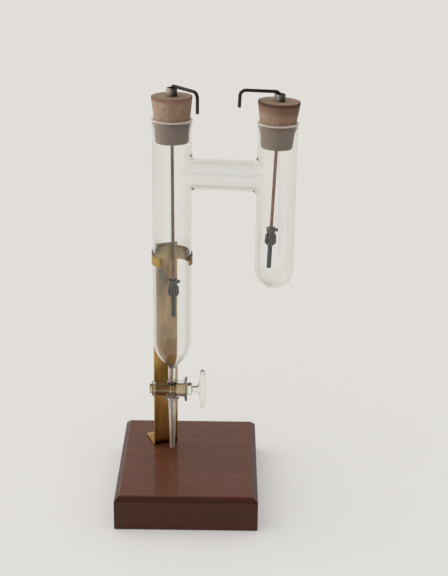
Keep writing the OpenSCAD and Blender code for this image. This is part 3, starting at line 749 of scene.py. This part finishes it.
def flare_rings(theta, z, limb, bridge, flare):
    """Rings of points from a window's edge to the bridge's middle. On the limb they run straight, in
    angle and height, to the circle of radius bridge + flare seen along the bridge. The flare is a
    cubic curve that leaves along the limb's wall and arrives along the bridge. Then the bridge runs
    straight."""
    phi = np.arctan2((z - bridge_z) / WINDOW, theta / WINDOW_ANGLE)
    c, s = np.cos(phi), np.sin(phi)
    flare = flare[0] + (flare[1] - flare[0]) * s ** 2
    edge = bridge + flare
    edge_theta, edge_z = np.arcsin(edge * c / limb), bridge_z + edge * s
    t = np.linspace(0, 1, 7)[1:, None]
    ring_theta, ring_z = (1 - t) * theta + t * edge_theta, (1 - t) * z + t * edge_z
    on_limb = columns(limb * np.cos(ring_theta), limb * np.sin(ring_theta), ring_z)
    start, depth = on_limb[-1], limb * np.cos(edge_theta)
    leave = start + FLARE_PULL * flare[:, None] * columns(edge * c * c / depth, -c, -s)
    saddle = np.sqrt(limb ** 2 - (bridge * c) ** 2)
    finish = columns(saddle + flare, bridge * c, bridge_z + bridge * s)
    arrive = finish - FLARE_PULL * flare[:, None] * [1, 0, 0]
    t = np.linspace(0, 1, 13)[1:, None, None]
    leaving = (1 - t) ** 3 * start + 3 * t * (1 - t) ** 2 * leave
    flared = leaving + 3 * t ** 2 * (1 - t) * arrive + t ** 3 * finish
    middle = columns(SPACING / 2, bridge * c, bridge_z + bridge * s)
    t = np.linspace(0, 1, 7)[1:, None, None]
    return np.concatenate([on_limb, flared, (1 - t) * finish + t * middle])


def branched_limb(outside_foot, inside_foot, closed):
    """A turned limb whose two windows, outside and inside, open into half of the bridge. The faces of a
    window are left out, and its rings start from the points of its edge."""
    profile, first_out, first_in = limb_profile(outside_foot, inside_foot)
    points, faces = grid(revolve(profile, TURNS), closed)
    whole = np.ones((len(faces) // TURNS, TURNS), bool)
    all_points, ring_faces, count = [points], [], len(points)
    j0, j1 = TURNS // 2 - WINDOW_COLS // 2, TURNS // 2 + WINDOW_COLS // 2
    windows = (first_out, TUBE, BRIDGE, FLARE_OUT), (first_in, BORE, BRIDGE - WALL, FLARE_IN)
    for i0, limb, bridge, flare in windows:
        i1 = i0 + WINDOW_ROWS
        whole[i0:i1, j0:j1] = False
        up, across = np.arange(i0, i1), np.arange(j0, j1)
        i = np.concatenate([0 * across + i0, up, 0 * across + i1, up[::-1] + 1])
        j = np.concatenate([across, 0 * up + j1, across[::-1] + 1, 0 * up + j0])
        rings = flare_rings(-np.pi + 2 * np.pi * j / TURNS, profile[i, 1], limb, bridge, flare)
        new = count + np.arange(rings[..., 0].size).reshape(rings.shape[:2])
        numbers = np.concatenate([[i * TURNS + j], new])
        all_points.append(rings.reshape(-1, 3))
        ring_faces.append(numbers.reshape(-1)[quads(*numbers.shape)])
        count += new.size
    return np.concatenate(all_points), np.concatenate([faces[whole.reshape(-1)], *ring_faces])

# %% [markdown]
# The long limb narrows to the neck above the stopcock. Its radius falls with
# the square of the depth, averaged over a millimetre or two where it meets the
# neck, since glass keeps no corner. The neck's foot follows the barrel that it
# is sealed to. The short limb simply ends in a half sphere.

# %% Glass cell
NECK, WAY, TAPER, SOFTENED, FILM = 3.0, 1.5, 20.0, 1.2, 0.03
SEAL, SEAL_RISE = 1.1, 0.9
TAIL, HEAD, BARREL_SMALL, BARREL_BIG = 14.5, 10.9, 5.0, 6.2
barrel_z = barrel_place[0][2]


def taper_radius(z, top, foot):
    """Radius of the taper at a height: foot + (top - foot)(1 - (1 - u)(1 - u)), with u running from 0 at
    its foot to 1 at its top, averaged over a short way up and down."""
    u = np.clip((z[:, None] + np.linspace(-SOFTENED, SOFTENED, 9) - limb_foot) / TAPER, 0, 1)
    return (foot + (top - foot) * (1 - (1 - u) ** 2)).mean(axis=1)


def barrel_radius(x):
    """Outer radius of the tapered barrel at a distance along its axis."""
    return BARREL_SMALL + (BARREL_BIG - BARREL_SMALL) * (x + TAIL) / (TAIL + HEAD)


def saddle_onto_barrel(points, flat, fixed, side):
    """Moves the points between a flat end and a fixed height so that the end follows the barrel's
    round: z = barrel's axis + side (sqrt(R R - y y) + film), with y square to the barrel and R taken
    where the point lies along it."""
    x, y, z = np.moveaxis(points, -1, 0)
    offset = points - barrel_place[0]
    along, beside = offset @ ALONG_PLUG, offset @ np.cross(UP, ALONG_PLUG)
    onto = barrel_z + side * (np.sqrt(np.maximum(barrel_radius(along) ** 2 - beside ** 2, 0)) + FILM)
    share = np.clip((fixed - z) / (fixed - flat), 0, 1)
    return columns(x, y, z + (onto - flat) * share)


neck_end = barrel_z + barrel_radius(0)
z = np.concatenate([
    np.linspace(neck_end, limb_foot - 2, 14, endpoint=False),
    np.linspace(limb_foot - 2, limb_foot + TAPER + SOFTENED, 34),
])
sealed = SEAL * np.exp((neck_end - z) / SEAL_RISE)
outside_foot = columns(taper_radius(z, TUBE, NECK) + sealed, z)
inside_foot = columns(taper_radius(z, BORE, WAY), z)
long_points, long_faces = branched_limb(outside_foot, inside_foot, closed=True)
long_points = saddle_onto_barrel(settle(long_points, limb_place), neck_end, limb_foot - 3, 1)

middle = [0, corners("short_limb")[0][2] + TUBE]
quarter = arc(np.linspace(-np.pi / 2, 0, 26))
short_points, short_faces = branched_limb(middle + TUBE * quarter, middle + BORE * quarter, closed=False)
short_points = settle(short_points, far_limb_place)

cell_points = np.concatenate([long_points, short_points])
cell_faces = np.concatenate([long_faces, short_faces + len(long_points)])
piece("glass_cell", [(cell_points, cell_faces)], cell_glass, "cell",
      ["long_limb", "bridge_tube", "short_limb"])

# %% [markdown]
# ## The stopcock
# The barrel is a thick tapered tube with a wide flange at the handle's end and
# a bead at the other, sealed across the neck. Below it a flared collar carries
# the jet, which is drawn out to a fine tip. Both are turned shapes with rounded
# corners, and the collar's top follows the barrel as the neck's foot does.

# %% Barrel and jet
FLANGE, FLANGE_THICK, BEAD, BEAD_THICK = 8.9, 1.8, 5.6, 2.0
PLUG_SMALL, PLUG_BIG, PLUG_GAP = 3.4, 4.2, 0.06
bead_end, flange_start = BEAD_THICK - TAIL, HEAD - FLANGE_THICK
barrel = eased([
    [PLUG_SMALL + PLUG_GAP, -TAIL], [BEAD, -TAIL], [BEAD, bead_end], [barrel_radius(bead_end), bead_end],
    [barrel_radius(flange_start), flange_start], [FLANGE, flange_start], [FLANGE, HEAD],
    [PLUG_BIG + PLUG_GAP, HEAD],
], [0.25, 0.6, 0.5, 0.4, 0.8, 0.8, 0.8, 0.3])
piece("stopcock_barrel_glass", [turned(barrel, barrel_place)], cell_glass, "cell",
      ["stopcock_barrel"])

COLLAR, COLLAR_RISE, COLLAR_TOP = 4.85, 3.0, 4.35
JET_TOP, JET_SWELL, JET_TIP, TIP_BORE = 2.9, 3.3, 1.75, 0.6
collar_foot, collar_end = jet_top - COLLAR_RISE, barrel_z - barrel_radius(0)
outer = eased([
    [TIP_BORE, jet_tip], [JET_TIP, jet_tip], [JET_TOP, collar_foot], [JET_SWELL, jet_top - 1.3],
    [COLLAR, jet_top - 0.9], [COLLAR, jet_top], [COLLAR_TOP, collar_end],
], [0.2, 0.4, 1.2, 0.5, 0.4, 0.3, 0])
inner = eased([[WAY, collar_end], [WAY, collar_foot], [TIP_BORE, jet_tip]], [0, 0.8, 0.2])[:-2]
jet = settle(revolve(np.concatenate([outer, inner]), 64), limb_place)
jet = saddle_onto_barrel(jet, collar_end, jet_top + 0.1, -1)
piece("drip_jet", [grid(jet, closed_rows=True)], cell_glass, "cell", ["outlet_jet"])

# %% [markdown]
# The plug is a ground cone with a bored way through it, a collar, a slim stem
# and a flat thumb piece like a petal. Its section changes from round to a long
# ellipse, so it is drawn as a loft: at each distance along the axis an ellipse
# with its own height and thickness, on smooth curves through a few sizes. The
# way is a hollow inside, whose wall faces inwards.

# %% Plug
def smooth_through(knots, steps=8):
    """A Catmull-Rom curve through knots: between p1 and p2, with outer neighbours p0 and p3, half of
    2p1 + t(p2-p0) + tt(2p0-5p1+4p2-p3) + ttt(3p1-p0-3p2+p3)."""
    p = np.array(knots, float)
    p0, p1, p2, p3 = np.concatenate([p[:1], p[:-2]]), p[:-1], p[1:], np.concatenate([p[2:], p[-1:]])
    t = np.linspace(0, 1, steps, endpoint=False)[:, None, None]
    square, cube = 2 * p0 - 5 * p1 + 4 * p2 - p3, 3 * p1 - p0 - 3 * p2 + p3
    curve = (2 * p1 + t * (p2 - p0) + t ** 2 * square + t ** 3 * cube) / 2
    return np.concatenate([curve.transpose(1, 0, 2).reshape(-1, p.shape[1]), p[-1:]])


STEM, STEM_START, PLUG_COLLAR, PLUG_TAIL, WAY_SHORT = 2.35, HEAD + 3.2, 4.6, 1.8, 0.35
plug_end = -TAIL - PLUG_TAIL
cone = eased([
    [0, plug_end], [PLUG_SMALL, plug_end], [PLUG_SMALL, -TAIL], [PLUG_BIG, HEAD + 0.3],
    [PLUG_COLLAR, HEAD + 0.4], [PLUG_COLLAR, HEAD + 3.1], [STEM, STEM_START],
], [0, 0.5, 0, 0.05, 0.5, 0.6, 0])
# Distance along the axis, half height and half thickness of the stem and thumb piece
thumb = smooth_through([
    [STEM_START, STEM, STEM], [15.6, 2.1, 2.1], [17.0, 2.2, 2.15], [18.2, 2.8, 2.2], [19.0, 4.0, 2.2],
    [19.55, 6.2, 2.1], [19.85, 9.5, 1.9], [20.1, 12.6, 1.6], [20.7, 14.6, 1.6], [21.8, 15.4, 1.8],
    [22.9, 14.5, 1.9], [23.6, 11.9, 1.9], [24.0, 8.4, 1.6], [24.25, 4.2, 1.0], [24.3, 0, 0],
])
distance, tall, thick = np.concatenate([cone[:, [1, 0, 0]], thumb[1:]]).T[:, :, None]
a = np.linspace(0, 2 * np.pi, 72, endpoint=False)
loft = columns(tall * np.cos(a), thick * np.sin(a), distance)
across_plug = place_at(barrel_place[0], UP, ALONG_PLUG)
way_end = PLUG_SMALL + (PLUG_BIG - PLUG_SMALL) * TAIL / (TAIL + HEAD) - WAY_SHORT
way = eased([[0, -way_end], [WAY, -way_end], [WAY, way_end], [0, way_end]], [0, 0.3, 0.3, 0])
piece("stopcock_plug_glass", [grid(settle(loft, barrel_place))], plug_glass, "plug", ["stopcock_plug"],
      hollows=[turned(way, across_plug, 32, closed=False)])

# %% [markdown]
# ## Stoppers, sleeves, leads and electrodes
# The two closures are alike but not equal: each stopper has its own size, sits
# at its own slight lean and carries its lead to its own depth. So the sizes of
# a side come first, and one function then makes all seven of its pieces. The
# joints say where its nut and clamping screw are, and the mount on the hook's
# leg says how far the hook reaches and where it points.

# %% Sizes of the two closures
# How far a stopper stands up and goes in, its top and foot radius, its sleeve's height above it and
# its pin's length
CLOSURES = {"left": (15.3, 16.1, 14.0, 11.3, 5.6, 15.2), "right": (14.1, 17.4, 14.35, 10.55, 4.9, 16.4)}
SLEEVE, SLEEVE_FLOOR, CUP, CUP_DEEP = 3.85, 5.0, 3.0, 9.0
WIRE, HOOK, OUTER_BEND, HOOK_GAP = 1.1, 3.0, 4.0, 0.3
NUT, NOSE, NUT_HALF, NOSE_RISE = 4.2, 2.3, 4.8, 2.2
SHOULDER, WAIST, WAIST_RISE = 3.7, 2.85, 1.8
COLLAR_WIDE, COLLAR_LOW, COLLAR_HIGH = 3.25, 5.1, 7.9
SPIGOT, SPIGOT_END, GRIP, WEB, RIBS, RIB_DEPTH = 2.4, -2.3, 3.5, 1.2, 12, 0.55
PIN, CLAMP, CLAMP_END = 1.55, 0.7, -2.8
CLAMP_HEAD, CLAMP_UNDER, CLAMP_TOP, CLAMP_FLAT = 1.1, -0.45, 0.75, 0.85
# Room round a part that stays, round one that turns and round the wire, and how far a lip nips its stopper
FIT, LOOSE, PASSAGE, NIP = 0.05, 0.06, 0.4, 0.2


def stopper_profile(up, into, top, foot):
    """A tapered plug, nipped where the lip holds it, with its sleeve's hole above and the wire's passage
    below, as one closed outline."""
    floor, hole, passage = SLEEVE_FLOOR - into, SLEEVE + FIT, WIRE + PASSAGE
    return eased([
        [passage, -into], [foot, -into], [BORE - NIP, 0], [top, up], [hole, up], [hole, floor],
        [passage, floor],
    ], [0.2, 0.8, 2.0, 0.6, 0.3, 0.1, 0.1])


def sleeve_profile(rim, into):
    """A tube with a guide bore for the wire, opened to a cup at its top, as one closed outline."""
    guide, floor, cup_floor = WIRE + FIT, SLEEVE_FLOOR - into, rim - CUP_DEEP
    return eased([
        [guide, floor], [SLEEVE, floor], [SLEEVE, rim], [CUP, rim], [CUP, cup_floor], [guide, cup_floor],
    ], [0.1, 0.3, 0.25, 0.25, 0.4, 0.2])


def lead_path(side, place, foot, arm):
    """The lead's middle line: up the axis, a quarter bend, along the arm, a wider quarter bend and down
    the leg to the mount on its end."""
    mount = mounts[side + "_hook_leg"]
    end = spot(mount) + np.array(mount["axis"]) * mount["dims"]["length_mm"] / 2
    leg = (end - place[0]) @ place[1]
    reach = np.hypot(*leg[:2])
    a = np.linspace(0, np.pi / 2, 10)
    over = [0, arm] + HOOK * columns(1 - np.cos(a), np.sin(a) - 1)
    down = [reach, arm] + OUTER_BEND * columns(np.sin(a) - 1, np.cos(a) - 1)
    rise = np.linspace(foot, over[0, 1] - 0.5, 40)
    leg_end = [[reach, leg[2] + 2], [reach, leg[2]]]
    plan = np.concatenate([columns(0, rise), over, [[reach / 2, arm]], down, leg_end])
    heading = np.append(leg[:2] / reach, 0)
    return plan[:, :1] * heading + plan[:, 1:] * UP, np.cross(UP, heading)

# %% Outlines that both closures share
nose_top, waist_z, pin_top = NOSE_RISE - NUT_HALF, NUT_HALF - WAIST_RISE, SPIGOT_END + GRIP
guide, grip, pin_bore, bore = WIRE + FIT, PIN + FIT, PIN + LOOSE, SPIGOT + LOOSE
rod_end = pin_top + WEB
wire = WIRE * arc(np.linspace(0, 2 * np.pi, 24, endpoint=False))
# A nut with a blunt nose and a waist below its top, bored for the pin and for the spigot
nut_outline = eased([
    [pin_bore, -NUT_HALF], [NOSE, -NUT_HALF], [NUT, nose_top], [SHOULDER, waist_z], [WAIST, waist_z],
    [WAIST, NUT_HALF], [bore, NUT_HALF], [bore, nose_top], [pin_bore, nose_top],
], [0.1, 0.4, 0.9, 0.4, 0.2, 0.15, 0.1, 0.1, 0.1], 9)
rib_depth = RIB_DEPTH * np.clip((nut_outline[:, 0] - NOSE - 0.6) / 0.5, 0, 1)
# A collar and a spigot, bored for the wire above a web and for the pin below it
chuck_outline = eased([
    [guide, COLLAR_HIGH], [COLLAR_WIDE, COLLAR_HIGH], [COLLAR_WIDE, COLLAR_LOW], [SPIGOT, COLLAR_LOW],
    [SPIGOT, SPIGOT_END], [grip, SPIGOT_END], [grip, pin_top], [guide, rod_end],
], [0.1, 0.4, 0.5, 0.1, 0.2, 0.1, 0.1, 0.1])
# A small screw; rings across its flat head take the place of the last corner, for the slot to be cut in
clamp_outline = eased([
    [0, CLAMP_END], [CLAMP, CLAMP_END], [CLAMP, CLAMP_UNDER], [CLAMP_HEAD, CLAMP_UNDER],
    [CLAMP_HEAD, CLAMP_TOP], [0, CLAMP_TOP],
], [0, 0.15, 0.05, 0.1, 0.2, 0])
flat_rings = columns(np.linspace(CLAMP_FLAT, 0, 14)[1:], CLAMP_TOP)
clamp = revolve(np.concatenate([clamp_outline[:-7], flat_rings]), 72)
clamp = slotted(clamp, width=0.4, depth=0.4, floor=0.2)
print("outlines:", len(nut_outline), "points of the nut and", len(chuck_outline), "of the chuck")

# %% Making one closure
def make_closure(side):
    """All seven pieces of a side: stopper, sleeve, lead, nut, chuck, electrode pin and clamping screw."""
    up, into, top, foot, over, pin_long = CLOSURES[side]
    hook, turn = joints[side + "_hook_turn"], joints[side + "_clamp_turn"]
    place = place_at(spot(hook), hook["axis"], ALONG_BRIDGE)

    def part(name, shell, material, body, node, slot):
        """A piece of this side, whose names all start with the side's own."""
        return piece(f"{side}_{name}", [shell], material, f"{side}_{body}", [f"{side}_{node}"])

    stopper = turned(stopper_profile(up, into, top, foot), place)
    stopper = part("rubber_stopper", stopper, rubber, "closure", "stopper", "stopper_rubber")
    x, y, z = own_points(stopper, place)
    keep(stopper, "height_mm", z - up)
    keep(stopper, "across_mm", x)
    keep(stopper, "edge_mm", top - np.hypot(x, y))
    sleeve = turned(sleeve_profile(up + over, into), place, 64)
    sleeve = part("sleeve_tube", sleeve, sleeve_metal, "swivel", "sleeve", "sleeve_nickel")
    # Across the sleeve, which its finish turns into painted shade on the right
    keep(sleeve, "across_mm", own_points(sleeve, place)[0])

    nut_place = spot(joints[side + "_nut_turn"]), place[1]
    nut_depth = (nut_place[0] - place[0]) @ place[1][:, 2]
    path, across = lead_path(side, place, nut_depth + rod_end, up + over + HOOK_GAP + WIRE)
    lead = grid(settle(carry(wire, path, across, 0.25), place))
    lead = part("hooked_lead", lead, lead_copper, "lead", "lead_wire", "lead_copper")
    keep(lead, "height_mm", own_points(lead, place)[2])

    nut = turned(nut_outline, nut_place, 144, ribs=RIBS, rib_depth=rib_depth)
    nut = part("ribbed_nut", nut, chuck_metal, "nut", "chuck_nut", "chuck_metal")
    x, y, z = own_points(nut, nut_place)
    # How deep in a valley between the ribs a point lies, which the finish turns into painted shade
    keep(nut, "valley_shade", (1 + np.cos(RIBS * np.arctan2(y, x))) / 2 * (np.hypot(x, y) > NOSE + 0.5))
    chuck = turned(chuck_outline, nut_place, 64)
    part("chuck", chuck, chuck_metal, "lead", "chuck_body", "chuck_metal")
    pin_end = -NUT_HALF - pin_long
    pin = eased([[0, pin_end], [PIN, pin_end], [PIN, pin_top], [0, pin_top]], [0, 0.35, 0.2, 0])
    pin = turned(pin, nut_place, 40, closed=False)
    part("pin", pin, pin_metal, "lead", "electrode_pin", "electrode_metal")
    screw = grid(settle(clamp, place_at(spot(turn), turn["axis"], place[1][:, 2])))
    part("slotted_screw", screw, chuck_metal, "clamp", "clamp_screw", "chuck_metal")


for side in CLOSURES:
    make_closure(side)

# %% [markdown]
# ## Floor, light and camera
# The object stands on a wide pale sheet in soft light from above and from the
# left, as in a photographer's studio: the surround itself is brighter there. A
# third of the sheet's brightness comes through it from below, which keeps its
# shadows pale. Mirror and glass rays see another surround, dark overhead, so
# that polished metal, varnish and the edges of the glass show their shape. The
# camera looks down on the object from the front with a long lens.

# %% Floor
FLOOR_HALF, FLOOR_Z = 6.0, -0.0002
FADE = -0.22, 0.25
# Thin matt paper: lit from both sides, and a little darker towards the back
floor_paper, node, where = blank("paper_sheet_translucent")
y = node("SeparateXYZ", (where,)).outputs["Y"]
fade = node("MapRange", (y, *FADE), interpolation_type="SMOOTHSTEP")
paper = node("Mix", (fade, "#CCCBCA", "#CAC8C5"), **BLEND)
close(floor_paper, {
    "Base Color": paper, "Roughness": 0.9, "Specular IOR Level": 0.1,
    "Emission Color": "#FBF8F5", "Emission Strength": 0.264,
})

across = np.linspace(-FLOOR_HALF, FLOOR_HALF, 5)
points, faces = grid(columns(across[:, None], across, FLOOR_Z), closed_cols=False)
floor_mesh = bpy.data.meshes.new("floor_sheet")
floor_mesh.from_pydata(points.tolist(), [], faces[:, ::-1].tolist())
floor_mesh.materials.append(floor_paper)
floor = put("floor_sheet", floor_mesh)
print("floor:", 2 * FLOOR_HALF, "m square, facing up:", floor_mesh.polygons[0].normal.z > 0)

# %% Light
# Where the surround is brightest, as mirrors and glass see it and as it lights the rest
MIRROR_BRIGHT, LIGHT_FROM = (-0.7, 0.6, -0.4), (-0.5, 0.15, 0.75)
BACKDROP = 0.742

world = bpy.data.worlds.new("pale_surround")
world.use_nodes = True
world.node_tree.nodes.clear()
node = partial(add, world.node_tree)
ray = node("LightPath", ()).outputs
towards = node("TexCoord", ()).outputs["Object"]
aside = node("VectorMath", (towards, MIRROR_BRIGHT), operation="DOT_PRODUCT")
mirrored = node("MapRange", (aside, -0.5, 0.6, 0.15, 0.85))
leftward = node("VectorMath", (towards, LIGHT_FROM), operation="DOT_PRODUCT")
lighting = node("MapRange", (leftward, -0.9, 0.9, 0.06, 1.03))
indirect = node("Mix", (ray["Is Diffuse Ray"], mirrored, lighting))
strength = node("Mix", (ray["Is Camera Ray"], indirect, BACKDROP))
surround = node("Background", {"Color": "#FBFAF8", "Strength": strength})
node("OutputWorld", (surround,))
bpy.context.scene.world = world

# A very wide distant lamp, which lights the whole floor evenly and casts a soft shadow
SUN_STRENGTH, SUN_SPREAD, SUN_TOWARDS = 0.3, np.radians(60), np.array([0.7, -0.1, -0.7])
sun = bpy.data.lights.new("key_from_the_left", "SUN")
sun.energy, sun.angle = SUN_STRENGTH, SUN_SPREAD
x, y, z = unit(SUN_TOWARDS)
turn = Matrix.Rotation(np.arctan2(-x, y), 4, "Z") @ Matrix.Rotation(np.arccos(-z), 4, "X")
put(sun.name, sun).matrix_world = turn
print("lamp:", sun.name, "strength", SUN_STRENGTH, "and a surround of", len(world.node_tree.nodes), "nodes")

# %% Camera
EYE, FOCAL, SENSOR = (0.024, -0.847, 0.469), 80.56, 36.0
PITCH, ROLL, YAW = np.radians(20.21), np.radians(0.76), np.radians(-0.03)
lens = bpy.data.cameras.new("front_view")
lens.sensor_fit, lens.sensor_height, lens.lens = "VERTICAL", SENSOR, FOCAL
camera = put("front_view", lens)
camera.matrix_world = (
    Matrix.Translation(EYE) @ Matrix.Rotation(YAW, 4, "Z")
    @ Matrix.Rotation(np.pi / 2 - PITCH, 4, "X") @ Matrix.Rotation(ROLL, 4, "Z")
)
bpy.context.scene.camera = camera
bpy.context.scene.view_settings.view_transform = "Standard"
print("camera:", FOCAL, "mm lens, looking down", round(np.degrees(PITCH), 2), "degrees")
